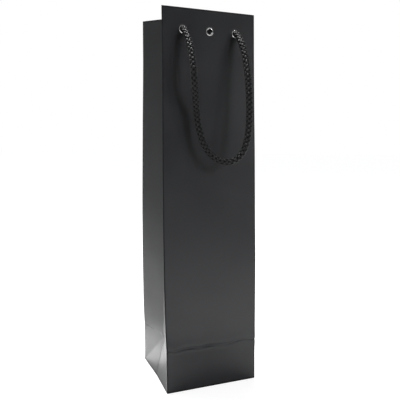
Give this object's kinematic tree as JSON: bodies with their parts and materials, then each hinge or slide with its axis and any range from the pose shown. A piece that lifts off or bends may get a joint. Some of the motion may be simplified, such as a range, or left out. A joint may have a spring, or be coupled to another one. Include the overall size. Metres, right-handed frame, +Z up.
{
  "type": "wine gift bag",
  "caption": "Tall black paper bottle bag with folded side gussets, a glued block bottom, metal eyelets and braided cord handles that hang down the faces.",
  "frame": {"origin": "centre of the footprint, on the ground under the base", "axes": "+Z up, -Y towards the front face, +X to the front face's right-hand side"},
  "size_m": [0.1, 0.1482, 0.39],
  "materials": {
    "black_paper": "satin",
    "hem_paper": "satin",
    "stiffener_card": "matte",
    "base_board": "matte",
    "eyelet_metal": "polished",
    "handle_cord": "matte"
  },
  "bodies": {
    "base": {"front_bottom_strip": "black_paper", "back_bottom_strip": "black_paper", "left_bottom_gusset": "black_paper", "right_bottom_gusset": "black_paper", "base_front_flap": "black_paper", "base_back_flap": "black_paper", "base_left_flap": "black_paper", "base_right_flap": "black_paper", "base_board": "base_board", "left_gusset_front": "black_paper", "left_gusset_back": "black_paper", "right_gusset_front": "black_paper", "right_gusset_back": "black_paper"},
    "front_face": {"front_panel": "black_paper", "front_top_card": "stiffener_card", "front_top_hem": "hem_paper", "front_left_eyelet": "eyelet_metal", "front_left_eyelet_washer": "eyelet_metal", "front_centre_eyelet": "eyelet_metal", "front_centre_eyelet_washer": "eyelet_metal", "front_right_eyelet": "eyelet_metal", "front_right_eyelet_washer": "eyelet_metal", "front_left_cord_knot": "handle_cord", "front_right_cord_knot": "handle_cord"},
    "back_face": {"back_panel": "black_paper", "back_top_card": "stiffener_card", "back_top_hem": "hem_paper", "back_left_eyelet": "eyelet_metal", "back_left_eyelet_washer": "eyelet_metal", "back_centre_eyelet": "eyelet_metal", "back_centre_eyelet_washer": "eyelet_metal", "back_right_eyelet": "eyelet_metal", "back_right_eyelet_washer": "eyelet_metal", "back_left_cord_knot": "handle_cord", "back_right_cord_knot": "handle_cord", "side_seam_flap": "black_paper"},
    "front_handle": {"front_handle_cord": "handle_cord"},
    "back_handle": {"back_handle_cord": "handle_cord"}
  },
  "joints": [
    {"name": "front_face_fold", "type": "hinge", "parent": "base", "child": "front_face", "pos_m": [0, -0.04359, 0.04498], "axis": [1, 0, 0], "range_deg": [-1.8, 2.9], "stiffness_Nm_per_rad": 1, "deforming": ["left_gusset_front", "right_gusset_front"]},
    {"name": "back_face_fold", "type": "hinge", "parent": "base", "child": "back_face", "pos_m": [0, 0.04359, 0.04498], "axis": [-1, 0, 0], "range_deg": [-2.2, 0.8], "stiffness_Nm_per_rad": 1, "deforming": ["left_gusset_back", "right_gusset_back"]},
    {"name": "front_handle_swing", "type": "hinge", "parent": "front_face", "child": "front_handle", "pos_m": [0, -0.0364, 0.36846], "axis": [-1, 0, 0], "range_deg": [-6, 155], "stiffness_Nm_per_rad": 0.02},
    {"name": "back_handle_swing", "type": "hinge", "parent": "back_face", "child": "back_handle", "pos_m": [0, 0.04907, 0.3685], "axis": [1, 0, 0], "range_deg": [-6, 155], "stiffness_Nm_per_rad": 0.02}
  ]
}
